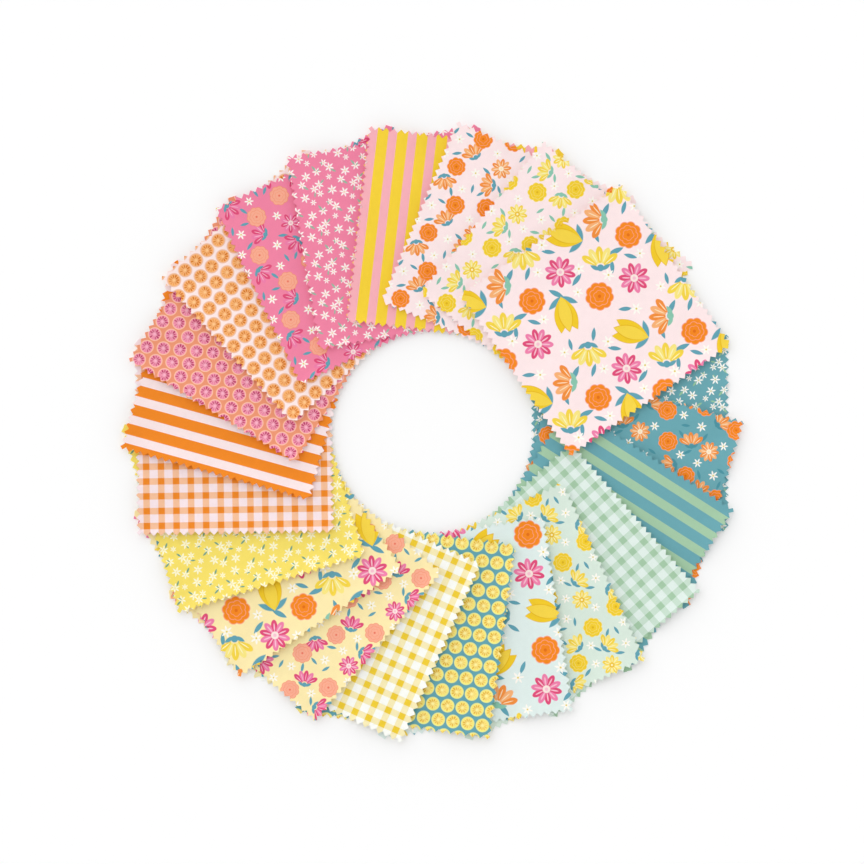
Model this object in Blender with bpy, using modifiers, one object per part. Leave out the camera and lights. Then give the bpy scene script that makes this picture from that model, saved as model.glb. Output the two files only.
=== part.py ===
"""A fan of square cotton pieces, each laid over the one before it.

The squares stand round a ring with their sides along its radius. Square 1 lies flat on the
surface. Each later one lies over those before it and comes down to the surface where it is
clear of them. Metres, +Z up, origin at the bottom centre of the bounding box.
"""
import math

import bmesh
import bpy
from mathutils import Matrix, Vector

SIDE = 0.254             # a square's side, ten inches from tooth tip to tooth tip
SHEET = 0.001            # thickness of a square
LIFT = 0.0016            # height that a square adds to those that lie over it
DRAPE = 0.070            # width over which a square comes down past the edge of one below
CURL = 0.0040            # height that a square's free edges stand up
CURL_WIDTH = 0.060       # width of the band along an edge that curls up
COVER = 0.015            # distance from a square above within which an edge stays down
FREE = 0.045             # distance from the squares above beyond which an edge is free
CELLS = 10               # mesh cells along a side

RING_INNER = 0.127       # from the ring's centre to the squares' inner edges
TURN_STEP = math.radians(16.27)      # turn from one square to the next, clockwise
FIRST_TURN = math.radians(-0.07)     # direction of square 1 from the ring's centre

# One row for each square, lowest first: name of its print, ground colour, roughness.
PRINTS = (
    ("teal_flower", (0.10, 0.37, 0.45), 0.90),
    ("teal_sprig", (0.10, 0.37, 0.45), 0.90),
    ("green_stripe", (0.18, 0.45, 0.42), 0.90),
    ("green_gingham", (0.55, 0.76, 0.62), 0.90),
    ("mint_sprig", (0.66, 0.83, 0.73), 0.90),
    ("mint_posy", (0.66, 0.83, 0.79), 0.90),
    ("teal_dot", (0.52, 0.56, 0.30), 0.90),
    ("yellow_gingham", (0.94, 0.78, 0.36), 0.90),
    ("lemon_sprig", (0.96, 0.80, 0.42), 0.90),
    ("lemon_posy", (0.96, 0.80, 0.42), 0.90),
    ("yellow_flower", (0.93, 0.72, 0.15), 0.90),
    ("orange_gingham", (0.93, 0.45, 0.25), 0.90),
    ("orange_stripe", (0.93, 0.45, 0.25), 0.90),
    ("coral_dot", (0.90, 0.30, 0.22), 0.90),
    ("orange_dot", (0.95, 0.55, 0.35), 0.90),
    ("rose_sprig", (0.91, 0.20, 0.38), 0.90),
    ("rose_flower", (0.91, 0.20, 0.38), 0.90),
    ("yellow_stripe", (0.92, 0.52, 0.20), 0.90),
    ("blush_orange", (0.97, 0.78, 0.76), 0.90),
    ("blush_lemon", (0.97, 0.78, 0.76), 0.90),
    ("blush_posy", (0.97, 0.78, 0.76), 0.90),
)


def clear_scene():
    for obj in list(bpy.data.objects):
        bpy.data.objects.remove(obj, do_unlink=True)


def turn(index):
    """Direction of square number index, as an angle about the ring's centre."""
    return FIRST_TURN - index * TURN_STEP


def placement(index):
    """Square number index in the ring: local +X points out along the radius."""
    centre = Matrix.Translation((RING_INNER + SIDE / 2, 0, 0))
    return Matrix.Rotation(turn(index), 4, "Z") @ centre


def ring_offset():
    """Move that puts the middle of the squares' outline over the origin."""
    half = SIDE / 2
    corners = [
        placement(index) @ Vector((sx * half, sy * half, 0))
        for index in range(len(PRINTS))
        for sx in (-1, 1)
        for sy in (-1, 1)
    ]
    xs = [corner.x for corner in corners]
    ys = [corner.y for corner in corners]
    return Matrix.Translation((-(min(xs) + max(xs)) / 2, -(min(ys) + max(ys)) / 2, 0))


def distance_outside(point, placed_inverse):
    """Distance in plan from a point to a square's outline, 0 inside it."""
    local = placed_inverse @ point
    beyond_x = max(abs(local.x) - SIDE / 2, 0)
    beyond_y = max(abs(local.y) - SIDE / 2, 0)
    return math.hypot(beyond_x, beyond_y)


def ease(start, end, value):
    """0 before start, 1 after end, and a smooth rise between them."""
    t = min(max((value - start) / (end - start), 0), 1)
    return t * t * (3 - 2 * t)


def resting_height(point, below):
    """Height of a sheet's underside over a point, above the squares below it."""
    return LIFT * sum(1 - ease(0, DRAPE, distance_outside(point, inverse)) for inverse in below)


def curl(local, point, above):
    """Height by which a sheet's free edge stands up, where no square lies over it."""
    margin = SIDE / 2 - max(abs(local.x), abs(local.y))
    band = max(1 - margin / CURL_WIDTH, 0)
    clear = min((distance_outside(point, inverse) for inverse in above), default=FREE)
    return CURL * band * band * ease(COVER, FREE, clear)


def fabric(name, color, roughness):
    material = bpy.data.materials.new(name)
    material.use_nodes = True
    shader = material.node_tree.nodes["Principled BSDF"]
    shader.inputs["Base Color"].default_value = (*color, 1)
    shader.inputs["Roughness"].default_value = roughness
    shader.inputs["Metallic"].default_value = 0
    return material


def square_mesh(name, placed, below, above):
    """The underside of a square as an open grid that follows what lies below it."""
    mesh = bpy.data.meshes.new(name)
    grid = bmesh.new()
    bmesh.ops.create_grid(grid, x_segments=CELLS, y_segments=CELLS, size=SIDE / 2)
    for vert in grid.verts:
        point = placed @ vert.co
        vert.co.z = resting_height(point, below) + curl(vert.co, point, above)
    grid.to_mesh(mesh)
    grid.free()
    mesh.shade_smooth()
    mesh.set_sharp_from_angle(angle=math.radians(40))
    return mesh


def add_square(collection, index, places):
    label, color, roughness = PRINTS[index]
    name = f"square_{index + 1:02d}_{label}"
    placed = places[index]
    below = [place.inverted() for place in places[:index]]
    above = [place.inverted() for place in places[index + 1 :]]
    square = bpy.data.objects.new(name, square_mesh(name, placed, below, above))
    square.matrix_world = placed
    square.data.materials.append(fabric(name, color, roughness))
    collection.objects.link(square)
    thickness = square.modifiers.new("thickness", "SOLIDIFY")
    thickness.thickness = SHEET
    thickness.offset = 1


def main():
    clear_scene()
    collection = bpy.data.collections.new("fabric_square_fan")
    bpy.context.scene.collection.children.link(collection)
    offset = ring_offset()
    places = [offset @ placement(index) for index in range(len(PRINTS))]
    for index in range(len(places)):
        add_square(collection, index, places)


main()
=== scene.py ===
"""The look of a ring of printed cotton squares, each laid partly over the one before it.

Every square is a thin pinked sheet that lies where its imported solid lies. Its print is drawn by
shader nodes, in millimetres of cloth. All else is in metres, +Z up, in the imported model's frame.
"""

import math

import bmesh
import bpy
import numpy as np
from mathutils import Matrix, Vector
from mathutils.geometry import delaunay_2d_cdt, intersect_line_line_2d


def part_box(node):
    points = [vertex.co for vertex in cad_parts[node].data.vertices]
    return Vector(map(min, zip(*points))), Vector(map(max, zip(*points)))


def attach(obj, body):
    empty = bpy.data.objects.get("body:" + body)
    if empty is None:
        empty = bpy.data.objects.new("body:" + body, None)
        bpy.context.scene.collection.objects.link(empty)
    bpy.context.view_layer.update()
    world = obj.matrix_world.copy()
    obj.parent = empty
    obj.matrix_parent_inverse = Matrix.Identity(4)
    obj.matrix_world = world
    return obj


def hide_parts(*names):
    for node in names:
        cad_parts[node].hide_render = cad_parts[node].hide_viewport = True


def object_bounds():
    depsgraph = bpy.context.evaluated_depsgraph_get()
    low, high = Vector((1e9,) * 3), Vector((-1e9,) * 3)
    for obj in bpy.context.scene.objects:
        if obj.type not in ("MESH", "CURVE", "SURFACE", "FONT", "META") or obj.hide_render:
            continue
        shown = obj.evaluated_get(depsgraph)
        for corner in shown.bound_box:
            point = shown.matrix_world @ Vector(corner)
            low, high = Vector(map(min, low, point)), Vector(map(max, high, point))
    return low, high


# ---- The squares, as in the solids -------------------------------------------------------------

SIDE = 0.254             # a square's side, ten inches from tooth tip to tooth tip
LIFT = 0.0016            # height that a square adds to those that lie over it
DRAPE = 0.070            # width over which a square comes down past the edge of one below
CURL = 0.0040            # height that a square's free edges stand up
CURL_WIDTH = 0.060       # width of the band along an edge that curls up
COVER = 0.015            # distance from a square above within which an edge stays down
FREE = 0.045             # distance from the squares above beyond which an edge is free
TURN_STEP = math.radians(16.27)      # turn from one square to the next, clockwise
FIRST_TURN = math.radians(-0.07)     # direction of square 1 from the ring's middle

# ---- The cloth ---------------------------------------------------------------------------------

THICKNESS = 0.0005       # of the cotton
CELL = 0.005             # size of its mesh cells
PINK_PITCH = 0.00966     # from one pinked tooth to the next
PINK_DEPTH = 0.0048      # from a tooth's tip to its root
# For each side, the direction in which it faces and the place of a tooth's tip on it, measured
# anticlockwise from its middle.
PINK_SIDES = (
    (1, 0, -0.0030),
    (0, 1, 0.0012),
    (-1, 0, -0.0019),
    (0, -1, -0.0060),
)

SHARP_ANGLE = math.radians(50)       # an edge that turns more than this isn't shaded smooth

WAVE_LENGTHS = (0.052, 0.071, 0.118)  # of the slight waves in a cloth that isn't pressed
WAVE_HEIGHT = 0.0003

# ---- Light and camera --------------------------------------------------------------------------

SKY = 0.535              # light from overhead and all round
GLOW = 2.40              # more light from near the floor, all round
GLOW_FADE = 3.0          # how fast that falls off higher up
SUN = 1.24               # light of the one soft lamp
SUN_SOFTNESS = math.radians(84)
SUN_FROM = Vector((-0.574, 0.819, 0.781))   # where the lamp stands, seen from the squares
FLOOR_REACH = 8.0        # from the middle to the floor's edges
FLOOR_DROP = 0.0001      # the floor lies this far below the lowest square

LENS = 200.0             # millimetres, on a sensor 36 mm wide
SENSOR = 36.0
VIEW_WIDTH = 1.1084      # width of floor in the camera's view


# ================================================================================================
# Shapes
# ================================================================================================


class Square:
    """A square's place in the ring. Its own +X points out along the radius."""

    def __init__(self, index, node):
        low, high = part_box(node)
        self.index = index
        self.node = node
        self.label = node.split("_", 2)[2]
        self.middle = (np.array(low) + np.array(high))[:2] / 2
        turn = FIRST_TURN - index * TURN_STEP
        self.axes = np.array(
            ((math.cos(turn), math.sin(turn)), (-math.sin(turn), math.cos(turn)))
        )

    def place(self, flat):
        """Points of the flat square, in plan."""
        return flat @ self.axes + self.middle

    def distance_outside(self, points):
        """Distance in plan from points to the square's outline, 0 inside it."""
        local = (points - self.middle) @ self.axes.T
        beyond = np.maximum(np.abs(local) - SIDE / 2, 0)
        return np.hypot(beyond[:, 0], beyond[:, 1])


def zigzag(out_x, out_y, first_tip):
    """Tips and roots of one cut, on past both corners. It runs anticlockwise round the square."""
    reach = math.ceil(SIDE / PINK_PITCH) + 2
    points = []
    for step in range(-reach, reach + 1):
        along = first_tip + step * PINK_PITCH / 2
        out = SIDE / 2 - PINK_DEPTH * (step % 2)
        points.append(Vector((out_x * out - out_y * along, out_y * out + out_x * along)))
    return points


def meeting(cut, following):
    """Where a cut first meets the one after it, and their points before and after that place."""
    for last, ends in enumerate(zip(cut, cut[1:])):
        for first, starts in enumerate(zip(following, following[1:])):
            place = intersect_line_line_2d(*ends, *starts)
            if place:
                return place, last, first + 1
    raise ValueError("the two cuts don't meet")


class PinkedCut:
    """A flat square cut with pinking shears: its points, faces and outline, about its middle."""

    def __init__(self):
        cuts = [zigzag(*side) for side in PINK_SIDES]
        corners = [meeting(cut, cuts[(i + 1) % 4]) for i, cut in enumerate(cuts)]
        outline = []
        for i, (corner, last, _) in enumerate(corners):
            outline += cuts[i][corners[i - 1][2] : last + 1] + [corner]
        edges = [(i, (i + 1) % len(outline)) for i in range(len(outline))]
        reach = SIDE / 2 - PINK_DEPTH - CELL / 2
        line = np.linspace(-reach, reach, round(2 * reach / CELL) + 1)
        inner = [Vector((x, y)) for y in line for x in line]
        made = delaunay_2d_cdt(outline + inner, edges, [], 1, 1e-7)
        self.points = np.array(made[0])
        self.faces = [tuple(face) for face in made[2]]
        sides = {side for face in self.faces for side in zip(face, face[1:] + face[:1])}
        self.outline = sorted((a, b) for a, b in sides if (b, a) not in sides)


def ease(start, end, value):
    """0 before start, 1 after end, and a smooth rise between them."""
    t = np.clip((value - start) / (end - start), 0, 1)
    return t * t * (3 - 2 * t)


def resting_height(points, below):
    """Height of a sheet's underside over points in plan, above the squares below it."""
    return LIFT * sum(1 - ease(0, DRAPE, square.distance_outside(points)) for square in below)


def curl(flat, points, above):
    """Height by which a sheet's free edges stand up, where no square lies over them."""
    margin = SIDE / 2 - np.abs(flat).max(axis=1)
    band = np.maximum(1 - margin / CURL_WIDTH, 0)
    clear = [np.full(len(points), FREE)] + [square.distance_outside(points) for square in above]
    return CURL * band**2 * ease(COVER, FREE, np.min(clear, axis=0))


def waves(flat, seed):
    """Heights of the slight waves in a flat cloth."""
    chance = np.random.default_rng(seed)
    height = np.zeros(len(flat))
    for length in WAVE_LENGTHS:
        heading, phase = chance.uniform(0, math.tau, 2)
        along = flat @ np.array((math.cos(heading), math.sin(heading)))
        height += np.sin(math.tau * along / length + phase)
    return WAVE_HEIGHT * height / len(WAVE_LENGTHS)


UNDER, RIM = 1, 2        # parts of a sheet, in the order of their faces, after its top

# The part of the baked picture that each side of the cloth takes: its middle and its width.
TOP_CHART = (0.385, 0.385, 0.75)
UNDER_CHART = (0.885, 0.885, 0.21)
RIM_SPREAD = 1.008       # the cut edge is unrolled outside the top, this much larger


def chart(cloth, middle_x, middle_y, width):
    """Places in the flat cloth, from 0 to 1, as places in a part of the baked picture."""
    return (cloth - 0.5) * width + np.array((middle_x, middle_y))


def add_maps(mesh, cut, faces_on_a_side):
    """Gives each corner its place in the flat cloth and in the picture that it is baked to."""
    count = len(cut.points)
    corners = np.empty(len(mesh.loops), dtype=int)
    mesh.loops.foreach_get("vertex_index", corners)
    sides = np.empty(len(mesh.polygons), dtype=int)
    mesh.polygons.foreach_get("loop_total", sides)
    face_part = np.minimum(np.arange(len(sides)) // faces_on_a_side, RIM)
    part = np.repeat(face_part, sides)
    cloth = (cut.points / SIDE + 0.5)[corners % count]
    baked = chart(cloth, *TOP_CHART)
    baked[part == UNDER] = chart(cloth, *UNDER_CHART)[part == UNDER]
    rim_low = (part == RIM) & (corners >= count)
    spread = (cloth - 0.5) * RIM_SPREAD + 0.5
    baked[rim_low] = chart(spread, *TOP_CHART)[rim_low]
    for name, places in (("cloth", cloth), ("OFBake", baked)):
        mesh.uv_layers.new(name=name).uv.foreach_set("vector", places.ravel())
    under = mesh.attributes.new("underside", "FLOAT", "FACE")
    under.data.foreach_set("value", (face_part == UNDER).astype(float))


def cloth_mesh(name, cut, square, squares):
    """The sheet of one square: its top, its underside and the cut edge between them."""
    plan = square.place(cut.points)
    below, above = squares[: square.index], squares[square.index + 1 :]
    underside = resting_height(plan, below) + curl(cut.points, plan, above)
    underside = np.maximum(underside + waves(cut.points, square.index), 0)
    top = np.column_stack((plan, underside + THICKNESS))
    under = np.column_stack((plan, underside))
    count = len(plan)
    faces = cut.faces + [tuple(i + count for i in reversed(face)) for face in cut.faces]
    faces += [(a + count, b + count, b, a) for a, b in cut.outline]
    mesh = bpy.data.meshes.new(name)
    mesh.from_pydata(np.vstack((top, under)).tolist(), [], faces)
    add_maps(mesh, cut, len(cut.faces))
    mesh.shade_smooth()
    mesh.set_sharp_from_angle(angle=SHARP_ANGLE)
    return mesh


# ================================================================================================
# Arithmetic in shader nodes
# ================================================================================================


class Shader:
    """The nodes of one material or of the world."""

    def __init__(self, owner):
        owner.use_nodes = True
        self.owner = owner
        self.nodes = owner.node_tree.nodes
        self.links = owner.node_tree.links

    def connect(self, sockets, values):
        """Sets each socket to a constant, or links a Field to it.

        values is a list in the order of the sockets, or a dict by their names or numbers.
        """
        named = values.items() if isinstance(values, dict) else enumerate(values)
        for key, value in named:
            if isinstance(value, Field):
                self.links.new(value.socket, sockets[key])
            else:
                sockets[key].default_value = value

    def add(self, kind, values=(), output=0, **settings):
        """Adds a node and returns one of its outputs as a Field."""
        node = self.nodes.new(f"ShaderNode{kind}")
        for setting, value in settings.items():
            setattr(node, setting, value)
        self.connect(node.inputs, values)
        return Field(self, node.outputs[output])


class Field:
    """A number, vector or colour that varies over the cloth."""

    def __init__(self, shader, socket):
        self.shader = shader
        self.socket = socket

    def __add__(self, other):
        return maths("ADD", self, other)

    def __sub__(self, other):
        return maths("SUBTRACT", self, other)

    def __rsub__(self, other):
        return maths("SUBTRACT", other, self)

    def __mul__(self, other):
        return maths("MULTIPLY", self, other)

    def __truediv__(self, other):
        return maths("DIVIDE", self, other)


def shader_of(values):
    return next(value.shader for value in values if isinstance(value, Field))


def maths(operation, *values, clamp=False):
    return shader_of(values).add("Math", values, operation=operation, use_clamp=clamp)


def vectors(operation, *values, output="Vector"):
    return shader_of(values).add("VectorMath", values, output, operation=operation)


def scaled(vector, factor):
    values = {0: vector, "Scale": factor}
    return shader_of(values.values()).add("VectorMath", values, "Vector", operation="SCALE")


def paint(under, share, over):
    """The colour under, with a share of the colour over laid on it."""
    values = {0: share, 6: under, 7: over}
    return shader_of(values.values()).add("Mix", values, 2, data_type="RGBA")


def pick(share, first, second):
    """The vector first where share is 0, second where it is 1."""
    return share.shader.add("Mix", {0: share, 4: first, 5: second}, 1, data_type="VECTOR")


def split(vector):
    """The three numbers of a vector."""
    node = vector.shader.add("SeparateXYZ", (vector,)).socket.node
    return [Field(vector.shader, output) for output in node.outputs]


def join(x, y, z=0.0):
    """A vector made of three numbers."""
    return shader_of((x, y, z)).add("CombineXYZ", (x, y, z))


def inside(distance, softness):
    """1 where a distance to an outline is negative, 0 where it is positive, soft in between."""
    return maths("MULTIPLY_ADD", distance, -1 / softness, 0.5, clamp=True)


def length(x, y):
    return maths("SQRT", maths("MULTIPLY_ADD", x, x, y * y))


def to_line(value, pitch):
    """Distance to the nearest of a row of lines, the first at 0."""
    return maths("PINGPONG", value, pitch / 2)


def ink(code):
    """A colour written as sRGB hex, as the linear RGBA that a shader takes."""
    parts = (int(code[i : i + 2], 16) / 255 for i in (0, 2, 4))
    linear = (p / 12.92 if p <= 0.04045 else ((p + 0.055) / 1.055) ** 2.4 for p in parts)
    return (*linear, 1)


# ================================================================================================
# Motifs. Each is drawn about its own middle, with a radius of 1.
# ================================================================================================

SOFT = 0.035             # blur of a motif's outlines, as a share of its radius
STAR_PETALS = 6
DAISY_PETALS = 10
CARNATION_STEP = math.radians(27)    # turn from one petal to the next


def nearest(cloth, repeat, places):
    """Where a point lies in the nearest of some motifs, each at (x, y, turn in degrees, radius)."""
    half = (repeat[0] / 2, repeat[1] / 2, 0)
    best = None
    for x, y, turn, radius in places:
        offset = vectors("SUBTRACT", cloth, (x, y, 0))
        offset = vectors("WRAP", offset, half, tuple(-size for size in half))
        values = {
            "Vector": offset,
            "Rotation": (0, 0, math.radians(turn)),
            "Scale": (radius, radius, radius),
        }
        local = cloth.shader.add("Mapping", values, vector_type="TEXTURE")
        reach = vectors("LENGTH", local, output="Value")
        if best is None:
            best, best_reach = local, reach
        else:
            closer = maths("LESS_THAN", reach, best_reach)
            best = pick(closer, best, local)
            best_reach = maths("MINIMUM", reach, best_reach)
    return best


class Motif:
    """A point's place in a motif, with what its shapes need."""

    def __init__(self, local):
        x, y, _ = split(local)
        self.reach = vectors("LENGTH", local, output="Value")
        self.angle = maths("ARCTAN2", y, x)

    def disc(self, radius):
        return inside(self.reach - radius, SOFT)

    def petals(self, count, middle, radius, turn):
        """A ring of round petals: how far a point lies inside them, in petal radii."""
        off = to_line(self.angle + turn, math.tau / count)
        square = maths("MULTIPLY_ADD", self.reach, self.reach, middle * middle)
        across = self.reach * maths("COSINE", off)
        square = maths("MULTIPLY_ADD", across, -2 * middle, square)
        return maths("SQRT", square) / radius

    def sector(self, count):
        """Distance from the axis of the nearest of some equal sectors, and along it."""
        off = to_line(self.angle, math.tau / count)
        return self.reach * maths("SINE", off), self.reach * maths("COSINE", off)

    def sector_number(self, count):
        return maths("ROUND", self.angle * (count / math.tau))


def turned(x, y, degrees):
    """A place measured on axes that are turned anticlockwise by degrees."""
    cosine, sine = math.cos(math.radians(degrees)), math.sin(math.radians(degrees))
    along = maths("MULTIPLY_ADD", x, cosine, y * sine)
    across = maths("MULTIPLY_ADD", y, cosine, x * -sine)
    return along, across


def blade(along, across, reach, width):
    """Share of ink in a pointed leaf that reaches both ways from its middle."""
    along = along / reach
    side = maths("MULTIPLY_ADD", along * along, -width, width)
    return inside(maths("ABSOLUTE", across) - side, SOFT * 1.5)


def leaf(picture, local, colour):
    along, across, _ = split(local)
    return paint(picture, blade(along, across, 1.0, 0.30), colour)


def star_flower(picture, local, petal, heart):
    """A small flower of narrow pointed petals."""
    motif = Motif(local)
    across, along = motif.sector(STAR_PETALS)
    width = along * (1.04 - along)
    picture = paint(picture, inside(across - width * 0.62, SOFT * 2), petal)
    return paint(picture, motif.disc(0.17), heart)


def rose(picture, local, inks):
    """A round layered blossom: rings of petals with pale edges."""
    body, edge, shade = inks
    motif = Motif(local)
    rings = ((9, 0.62, 0.36, 0.0), (7, 0.40, 0.30, 0.5), (5, 0.20, 0.22, 0.2))
    picture = paint(picture, motif.disc(0.72), body)
    for count, middle, radius, turn in rings:
        petals = motif.petals(count, middle, radius, turn)
        picture = paint(picture, inside(petals - 1.0, SOFT / radius), edge)
        picture = paint(picture, inside(petals - 0.86, SOFT / radius), body)
        picture = paint(picture, motif.disc(middle + 0.02), body)
    return paint(picture, motif.disc(0.11), shade)


def daisy(picture, local, inks):
    """An open flower of round petals in two tones, about a large heart."""
    first, second, vein, heart = inks
    motif = Motif(local)
    across, along = motif.sector(DAISY_PETALS)
    petal = length((along - 0.60) / 0.40, across / 0.205) - 1.0
    tone = maths("PINGPONG", motif.sector_number(DAISY_PETALS), 1.0)
    picture = paint(picture, inside(petal, SOFT * 3), paint(first, tone, second))
    line = length((along - 0.52) / 0.26, across / 0.045) - 1.0
    picture = paint(picture, inside(line, SOFT * 6), vein)
    picture = paint(picture, motif.disc(0.25), heart)
    return paint(picture, motif.disc(0.11), vein)


def carnation(picture, local, inks, leaf_ink):
    """A flower seen from its side: petals that open upwards from a green foot."""
    first, second, vein, heart = inks
    x, y, _ = split(local)
    foot = Motif(join(y + 0.75, x))
    off = to_line(foot.angle, CARNATION_STEP)
    across, along = foot.reach * maths("SINE", off), foot.reach * maths("COSINE", off)
    open_side = inside(maths("ABSOLUTE", foot.angle) - CARNATION_STEP * 2.5, SOFT * 2)
    petal = length((along - 1.02) / 0.66, across / 0.30) - 1.0
    tone = maths("PINGPONG", maths("ROUND", foot.angle / CARNATION_STEP), 1.0)
    picture = paint(picture, inside(petal, SOFT * 3) * open_side, paint(first, tone, second))
    line = length((along - 0.92) / 0.42, across / 0.04) - 1.0
    picture = paint(picture, inside(line, SOFT * 6) * open_side, vein)
    picture = paint(picture, inside(foot.reach - 0.27, SOFT), leaf_ink)
    aside = maths("ABSOLUTE", x)
    along, across = turned(aside - 0.42, y + 0.72, 30)
    return paint(picture, blade(along, across, 0.42, 0.16), leaf_ink)


def tulip(picture, local, inks, leaf_ink):
    """A closed flower of three pointed petals, with two leaves at its foot."""
    body, petal, shade = inks
    x, y, _ = split(local)
    aside = maths("ABSOLUTE", x)
    along, across = turned(aside - 0.40, y + 0.86, 32)
    picture = paint(picture, blade(along, across, 0.56, 0.17), leaf_ink)

    def cup(x, y, width):
        return inside(maths("ABSOLUTE", x) - (1.0 - y) * (y + 1.1) * width, SOFT)

    flank = turned(aside - 0.27, y + 0.02, -13)
    picture = paint(picture, cup(*flank, 0.36), shade)
    picture = paint(picture, cup(flank[0], flank[1] + 0.03, 0.33), body)
    picture = paint(picture, cup(x, y, 0.37), shade)
    return paint(picture, cup(x, y + 0.05, 0.33), petal)


# ================================================================================================
# Prints, in millimetres of cloth about a square's middle
# ================================================================================================

CRISP = 0.25             # blur of a printed line
STRIPE_PITCH = 25.3
STRIPE_NARROW = 11.2     # width of the narrower of the two stripes
CHECK_PITCH = 19.03
CHECK_BAND = 8.35
DOT_COLUMNS = 19.03      # from one column of slices to the next
DOT_ROWS = 19.07

RIM_BLUR = 0.8           # of a slice's outline
FLESH_BLUR = 0.7
WEDGES = 11              # in a slice
SHADE_TURN = math.radians(-120)      # direction in which a slice's wedges are darkest
SHADE_LEAN = 0.20        # how much darker a wedge's mark is there
SHARED_CHANCE = 1.0      # how much darker chance makes it at most, alike in every slice
OWN_CHANCE = 0.9         # and in one slice alone
MARK_PALER = 0.35        # taken off the sum of the three above
MARK_FAINTEST = 0.15
MARK_BLUR = 0.7
PITH_LINE = 0.28         # half the width of the pale lines between wedges
PITH_BLUR = 0.4
PITH_SHARE = 0.7         # of ink in them
CORE_SHARE = 0.4         # and in the pale middle

# As shares of the radius inside the rim:
CORE, CORE_BLUR = 0.2, 0.4           # size of the pale middle
MARK_FROM, MARK_STRAY = 0.48, 0.24   # nearest place of a mark's middle, and how far out it strays
MARK_LENGTH, MARK_WIDTH = 0.28, 0.16  # half of each
PITH_REACH = 0.9                     # length of a pale line


def stripes(cloth, wide, narrow, crossing):
    """Stripes along the square's X axis. crossing is the middle of one narrow stripe."""
    y = split(cloth)[1]
    off = to_line(y - crossing, STRIPE_PITCH)
    return paint(ink(wide), inside(off - STRIPE_NARROW / 2, CRISP), ink(narrow))


def gingham(cloth, dark, half, light, corner):
    """Checks of crossing bands. corner is the middle of one dark check."""
    x, y, _ = split(cloth)
    bands = [
        inside(to_line(place - start, CHECK_PITCH) - CHECK_BAND / 2, CRISP)
        for place, start in zip((x, y), corner)
    ]
    single = paint(ink(light), maths("MAXIMUM", *bands), ink(half))
    return paint(single, bands[0] * bands[1], ink(dark))


def wheels(cloth, ground, rim, flesh, fleck, pith, radius, rim_width, corner):
    """Round slices in columns, every second column half a step along.

    Each wedge has a mark, darker or fainter by chance. corner is the middle of one slice.
    """
    x, y, _ = split(cloth)
    x = x - corner[0]
    column = maths("ROUND", x / DOT_COLUMNS)
    y = y - corner[1] - maths("PINGPONG", column, 1.0) * (DOT_ROWS / 2)
    row = maths("ROUND", y / DOT_ROWS)
    wheel = Motif(join(x - column * DOT_COLUMNS, y - row * DOT_ROWS))
    picture = paint(ink(ground), inside(wheel.reach - radius, RIM_BLUR), ink(rim))
    inner = radius - rim_width
    picture = paint(picture, inside(wheel.reach - inner, FLESH_BLUR), ink(flesh))
    core = inside(wheel.reach - inner * CORE, inner * CORE_BLUR)
    picture = paint(picture, core * CORE_SHARE, ink(pith))
    number = wheel.sector_number(WEDGES)
    same = cloth.shader.add("TexWhiteNoise", {"Vector": join(number, 5.0)}, "Value")
    own = cloth.shader.add("TexWhiteNoise", {"Vector": join(column, row, number)}, "Value")
    lean = maths("COSINE", number * (math.tau / WEDGES) - SHADE_TURN)
    shared_depth = maths("MULTIPLY_ADD", same, SHARED_CHANCE, lean * SHADE_LEAN)
    depth = shared_depth + maths("MULTIPLY_ADD", own, OWN_CHANCE, -MARK_PALER)
    across, along = wheel.sector(WEDGES)
    centre = maths("MULTIPLY_ADD", own, inner * MARK_STRAY, inner * MARK_FROM)
    mark = length((along - centre) / (inner * MARK_LENGTH), across / (inner * MARK_WIDTH)) - 1.0
    share = inside(mark, MARK_BLUR) * maths("MAXIMUM", depth, MARK_FAINTEST)
    picture = paint(picture, share, ink(fleck))
    off = to_line(wheel.angle + math.pi / WEDGES, math.tau / WEDGES)
    line = inside(wheel.reach * maths("SINE", off) - PITH_LINE, PITH_BLUR)
    line = line * inside(wheel.reach - inner * PITH_REACH, RIM_BLUR)
    return paint(picture, line * PITH_SHARE, ink(pith))


# Motifs are listed by x, y, turn in degrees and radius. Each list repeats after the size given.
DITSY_REPEAT = (50.8, 50.8)
DITSY_FLOWERS = (
    (69, 112, 10, 6.3),
    (96, 106.5, 0, 6.3),
    (62, 102.5, 20, 4.2),
    (79, 98.5, 12, 5.6),
    (83.5, 91.5, 0, 6.2),
    (72, 92, 15, 4.8),
    (86, 113.5, 8, 5.6),
    (49.5, 92, 25, 5.8),
    (53, 75, 5, 6.2),
    (59.5, 81.5, 18, 5.0),
    (74.5, 76, 0, 6.4),
    (91.5, 77.5, 12, 4.2),
)
DITSY_LEAVES = (
    (48, 70.5, 55, 4.0),
    (81.5, 109, 50, 4.2),
    (54, 95, 30, 4.2),
    (87, 87, -50, 3.8),
    (71.5, 98.8, -12, 3.4),
    (59, 84, 10, 2.6),
    (73, 80.5, -60, 2.4),
    (51, 90, -50, 2.4),
)


def ditsy(cloth, ground, petal, heart, leaves, shift):
    """Small flowers and leaves strewn close together."""
    moved = vectors("SUBTRACT", cloth, (*shift, 0))
    picture = star_flower(
        ink(ground), nearest(moved, DITSY_REPEAT, DITSY_FLOWERS), ink(petal), ink(heart)
    )
    return leaf(picture, nearest(moved, DITSY_REPEAT, DITSY_LEAVES), ink(leaves))


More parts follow.
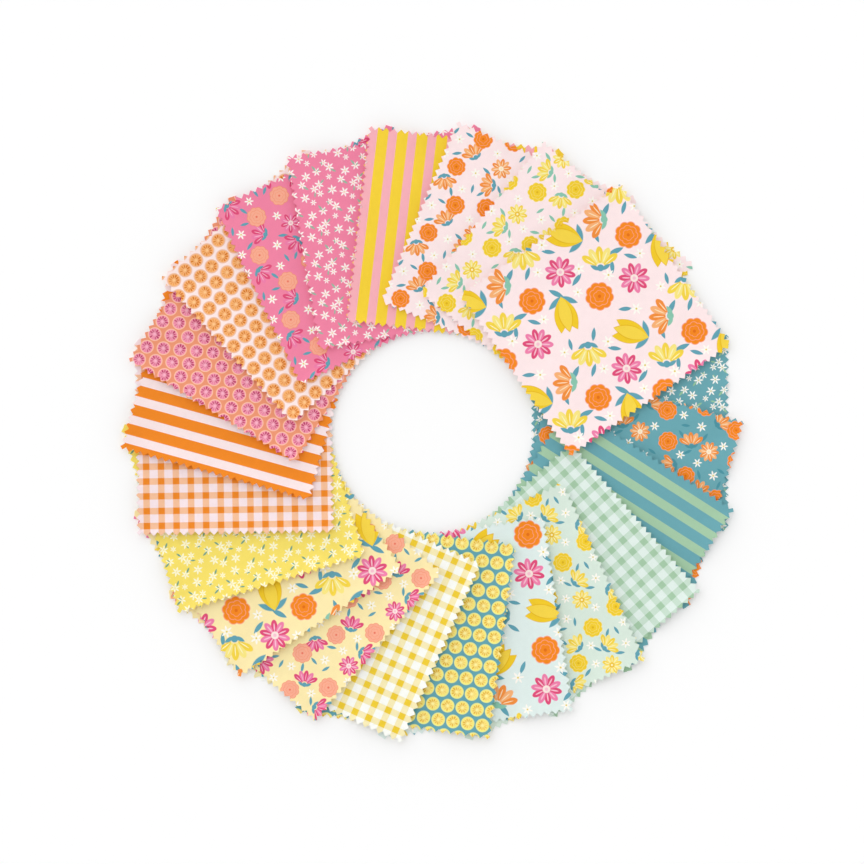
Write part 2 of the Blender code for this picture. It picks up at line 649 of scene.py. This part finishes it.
ORANGE_ROSE = (ink("F78A21"), ink("FBA98F"), ink("E8701A"))
PEACH_ROSE = (ink("FAAE93"), ink("F58F6E"), ink("F07A63"))
LEMON_ROSE = (ink("F5CF30"), ink("FBE58A"), ink("E3B41C"))
PINK_DAISY = (ink("E24E7B"), ink("F081AC"), ink("F9C3D2"), ink("FBE7DF"))
ORANGE_DAISY = (ink("F4903F"), ink("FAB377"), ink("FFE3BE"), ink("FFF0D8"))
LEMON_DAISY = (ink("F6D648"), ink("FAE784"), ink("FFF6C4"), ink("F0C22E"))
LEMON_TULIP = (ink("F3CB2C"), ink("F7D64A"), ink("E6B51D"))
WHITE, HEART = ink("FFFBF2"), ink("E6D36A")
TEAL, DEEP_TEAL, MINT = ink("62A3B4"), ink("4F95A3"), ink("8CC7B0")

POSY_REPEAT = (150.0, 150.0)
POSY = {
    "roses": ((22, 22, 0, 19), (97, 66, 40, 18)),
    "daisies": ((72, 16, 0, 20), (148, 76, 25, 20)),
    "tulips": ((122, 26, 160, 22), (28, 112, 40, 22)),
    "lemon_carnations": ((50, 62, -30, 16.5), (118, 118, 150, 16.5)),
    "orange_carnations": ((72, 106, 60, 16.5),),
    "stars": (
        (47, 38, 10, 8),
        (96, 38, 25, 7),
        (20, 66, 0, 8),
        (124, 92, 15, 7),
        (52, 132, 30, 8),
        (94, 138, 5, 7),
        (148, 118, 20, 8),
        (2, 42, 10, 7),
    ),
    "leaves": (
        (57, 44, 60, 9),
        (84, 42, -50, 9),
        (10, 56, 20, 10),
        (72, 58, -10, 11),
        (112, 98, 40, 9),
        (128, 56, -60, 11),
        (62, 88, 80, 9),
        (90, 108, 30, 11),
        (40, 140, -30, 9),
        (138, 136, 50, 9),
        (150, 106, -40, 9),
        (106, 142, 70, 8),
    ),
}

SPRIG_REPEAT = (92.0, 92.0)
SPRIG = {
    "roses": ((18, 16, 0, 13), (64, 34, 30, 12.5), (30, 70, 50, 13)),
    "daisies": ((84, 72, 10, 13),),
    "carnations": ((40, 40, 120, 11), (90, 22, -40, 11), (58, 80, 20, 11)),
    "stars": (
        (40, 16, 10, 6),
        (6, 44, 0, 6.5),
        (74, 54, 20, 6),
        (50, 58, 5, 6),
        (8, 84, 15, 6),
        (66, 8, 30, 6.5),
    ),
    "leaves": (
        (32, 28, 30, 6.5),
        (80, 40, -60, 6.5),
        (14, 52, -20, 6),
        (58, 64, 40, 6),
        (74, 88, 70, 6.5),
        (46, 4, 10, 6),
        (16, 34, 80, 6),
        (44, 84, -40, 6),
    ),
}


def posies(cloth, ground, shift):
    """Large blossoms in several colours, with small white flowers and leaves between them."""
    moved = vectors("SUBTRACT", cloth, (*shift, 0))

    def at(kind):
        return nearest(moved, POSY_REPEAT, POSY[kind])

    picture = leaf(ink(ground), at("leaves"), TEAL)
    picture = star_flower(picture, at("stars"), WHITE, HEART)
    picture = daisy(picture, at("daisies"), PINK_DAISY)
    picture = carnation(picture, at("lemon_carnations"), LEMON_DAISY, TEAL)
    picture = carnation(picture, at("orange_carnations"), ORANGE_DAISY, MINT)
    picture = rose(picture, at("roses"), ORANGE_ROSE)
    return tulip(picture, at("tulips"), LEMON_TULIP, TEAL)


def sprigs(cloth, ground, roses, daisies, leaves, shift):
    """Smaller blossoms of one colour, with white flowers and leaves between them."""
    moved = vectors("SUBTRACT", cloth, (*shift, 0))

    def at(kind):
        return nearest(moved, SPRIG_REPEAT, SPRIG[kind])

    picture = leaf(ink(ground), at("leaves"), leaves)
    picture = star_flower(picture, at("stars"), WHITE, HEART)
    picture = daisy(picture, at("daisies"), daisies)
    picture = carnation(picture, at("carnations"), daisies, leaves)
    return rose(picture, at("roses"), roses)


TEAL_CLOTH, MINT_CLOTH, AQUA_CLOTH = "6DAAB4", "DBEBDE", "E1EFEB"
CREAM_CLOTH, PINK_CLOTH, BLUSH_CLOTH = "FDEBB0", "F386A6", "FFEAEA"

PRINTS = {
    "teal_flower": lambda c: ditsy(c, TEAL_CLOTH, "FDFCF6", "E3DB9A", "9CC9A0", (-15.7, -7.9)),
    "teal_sprig": lambda c: sprigs(c, TEAL_CLOTH, ORANGE_ROSE, ORANGE_DAISY, DEEP_TEAL, (10, 4)),
    "green_stripe": lambda c: stripes(c, TEAL_CLOTH, "A7CCAA", 81.8),
    "green_gingham": lambda c: gingham(c, "A7CBAA", "CCE3D2", "E5F3EC", (-7.4, -1.8)),
    "mint_sprig": lambda c: sprigs(c, MINT_CLOTH, LEMON_ROSE, LEMON_DAISY, TEAL, (30, 12)),
    "mint_posy": lambda c: posies(c, AQUA_CLOTH, (22, 80)),
    "teal_dot": lambda c: wheels(
        c, "64A5B2", "F6EF8E", "FDE577", "EABC38", "FFF3B0", 8.7, 1.7, (-4.0, 95.3)
    ),
    "yellow_gingham": lambda c: gingham(c, "F0CD38", "F8ECB9", "FCFDF7", (-0.3, -1.7)),
    "lemon_sprig": lambda c: sprigs(c, CREAM_CLOTH, PEACH_ROSE, PINK_DAISY, TEAL, (52, 40)),
    "lemon_posy": lambda c: posies(c, CREAM_CLOTH, (60, 30)),
    "yellow_flower": lambda c: ditsy(c, "F9E26B", "FFFBDC", "F6E7A6", "76A58C", (-34.5, 18.3)),
    "orange_gingham": lambda c: gingham(c, "EE8828", "F6C19C", "F9E6EA", (-0.4, 0.1)),
    "orange_stripe": lambda c: stripes(c, "F28A27", "FBE7E7", 111.3),
    "coral_dot": lambda c: wheels(
        c, "EF9874", "FFCBB2", "F592AC", "C4426C", "FBC3D4", 8.7, 1.2, (1.0, 98.15)
    ),
    "orange_dot": lambda c: wheels(
        c, "FFEAE8", "F3C2A2", "F9AE66", "DC7C2A", "FFD199", 9.1, 1.6, (-1.4, 95.4)
    ),
    "rose_sprig": lambda c: sprigs(c, PINK_CLOTH, PEACH_ROSE, PINK_DAISY, TEAL, (75, 66)),
    "rose_flower": lambda c: ditsy(c, PINK_CLOTH, "FFF6F2", "F6D5A8", "97BBA3", (0, -1.6)),
    "yellow_stripe": lambda c: stripes(c, "F9D43C", "FAB3BC", 69.1),
    "blush_orange": lambda c: sprigs(c, BLUSH_CLOTH, ORANGE_ROSE, ORANGE_DAISY, TEAL, (8, 70)),
    "blush_lemon": lambda c: sprigs(c, BLUSH_CLOTH, LEMON_ROSE, LEMON_DAISY, MINT, (40, 20)),
    "blush_posy": lambda c: posies(c, BLUSH_CLOTH, (0, 0)),
}


# ================================================================================================
# Cotton
# ================================================================================================

BACK = ink("FBF7F2")     # the unprinted cotton
BACK_SHARE = 0.6         # of it over the print, on the underside
THREAD = 0.42            # from one thread to the next
THREAD_PAINTED_SHADE_AND_GLOSS = 0.08      # how much lighter a thread's top is than the gaps, as painted shade in the gaps, and how much smoother it is
# Painted shade: the colour in the gaps between threads is darkened to this share.
GAP_PAINTED_SHADE_BRIGHTNESS = 0.94
GAP_ROUGHNESS = 0.94
THREAD_BUMP = 0.4        # strength of the bump
THREAD_HEIGHT = 0.00012  # metres
BLOTCH_SCALE = 0.11      # of the ink's unevenness
BLOTCH_DEPTH = 0.06
SHINE = 0.12             # specular level


def weave(cloth):
    """Height of the threads of a plain weave, from 0 to 1."""
    x, y, _ = split(scaled(cloth, 1 / THREAD))
    over = maths("PINGPONG", maths("FLOOR", x) + maths("FLOOR", y), 1.0)
    warp = maths("ABSOLUTE", maths("SINE", x * math.pi))
    weft = maths("ABSOLUTE", maths("SINE", y * math.pi))
    return maths("MULTIPLY_ADD", over, warp - weft, weft)


def cotton(name, draw):
    """Printed cotton: its print, the threads of its weave with painted shade in the gaps between
    them, and a back where the ink is faint.
    """
    shader = Shader(bpy.data.materials.new(name))
    place = shader.add("UVMap", uv_map="cloth")
    side = SIDE * 1000
    cloth = vectors("MULTIPLY_ADD", place, (side, side, 0), (-side / 2, -side / 2, 0))
    threads = weave(cloth)
    blotch_values = {"Vector": cloth, "Scale": BLOTCH_SCALE, "Detail": 2.0}
    blotch = shader.add("TexNoise", blotch_values, "Fac")
    # Painted shade: the weave's height darkens the print in the gaps between threads.
    shade = maths("MULTIPLY_ADD", threads, THREAD_PAINTED_SHADE_AND_GLOSS, GAP_PAINTED_SHADE_BRIGHTNESS)
    picture = scaled(draw(cloth), shade + (blotch - 0.5) * BLOTCH_DEPTH)
    back = shader.add("Attribute", output="Fac", attribute_name="underside") * BACK_SHARE
    bump = {"Strength": THREAD_BUMP, "Distance": THREAD_HEIGHT, "Height": threads}
    shader.connect(
        shader.nodes["Principled BSDF"].inputs,
        {
            "Base Color": paint(picture, back, BACK),
            "Roughness": maths("MULTIPLY_ADD", threads, -THREAD_PAINTED_SHADE_AND_GLOSS, GAP_ROUGHNESS),
            "Normal": shader.add("Bump", bump, "Normal"),
            "Specular IOR Level": SHINE,
        },
    )
    return shader.owner


# ================================================================================================
# The scene
# ================================================================================================


def add_object(name, data):
    made = bpy.data.objects.new(name, data)
    bpy.context.scene.collection.objects.link(made)
    return made


def add_squares(nodes):
    """One cloth for each node, each laid on the one before it."""
    cut = PinkedCut()
    squares = [Square(index, node) for index, node in enumerate(sorted(nodes))]
    for square in squares:
        name = f"cloth_{square.index + 1:02d}_{square.label}"
        piece = add_object(name, cloth_mesh(name, cut, square, squares))
        piece.data.materials.append(cotton(name, PRINTS[square.label]))
        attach(piece, "root")
        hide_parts(square.node)


def add_floor():
    """A plain pale surface that the squares lie on."""
    mesh = bpy.data.meshes.new("floor")
    plane = bmesh.new()
    bmesh.ops.create_grid(plane, x_segments=1, y_segments=1, size=FLOOR_REACH)
    plane.to_mesh(mesh)
    plane.free()
    shader = Shader(bpy.data.materials.new("floor"))
    shader.connect(
        shader.nodes["Principled BSDF"].inputs,
        {"Base Color": (0.985, 0.985, 0.985, 1), "Roughness": 0.9, "Specular IOR Level": 0.0},
    )
    mesh.materials.append(shader.owner)
    floor = add_object("floor", mesh)
    floor.location.z = -FLOOR_DROP


def add_light():
    """Light from all round, stronger near the floor, and one broad lamp."""
    world = bpy.data.worlds.new("studio")
    bpy.context.scene.world = world
    shader = Shader(world)
    towards = shader.add("TexCoord", output="Generated")
    rise = maths("MAXIMUM", split(towards)[2], 0.0)
    glow = maths("POWER", 1.0 - rise, GLOW_FADE)
    strength = maths("MULTIPLY_ADD", glow, GLOW, SKY)
    values = {"Color": (1, 1, 1, 1), "Strength": strength}
    shader.connect(shader.nodes["Background"].inputs, values)
    lamp = bpy.data.lights.new("lamp", "SUN")
    lamp.energy = SUN
    lamp.angle = SUN_SOFTNESS
    add_object("lamp", lamp).rotation_euler = SUN_FROM.to_track_quat("Z", "Y").to_euler()


def add_camera(box):
    """A camera that looks straight down on the middle of a box."""
    camera = bpy.data.cameras.new("camera")
    camera.lens = LENS
    camera.sensor_width = SENSOR
    low, high = box
    height = VIEW_WIDTH * LENS / SENSOR
    placed = add_object("camera", camera)
    placed.location = (low + high) / 2 + Vector((0, 0, height))
    bpy.context.scene.camera = placed


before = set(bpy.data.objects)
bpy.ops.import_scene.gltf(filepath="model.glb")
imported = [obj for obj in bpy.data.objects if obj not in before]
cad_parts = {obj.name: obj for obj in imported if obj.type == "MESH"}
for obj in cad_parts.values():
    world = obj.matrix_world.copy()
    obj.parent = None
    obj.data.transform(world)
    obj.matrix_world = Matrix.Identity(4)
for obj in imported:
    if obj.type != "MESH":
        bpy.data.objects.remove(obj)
cad_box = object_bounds()
add_squares(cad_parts)
add_floor()
add_light()
add_camera(cad_box)
bpy.context.scene.view_settings.view_transform = "Standard"
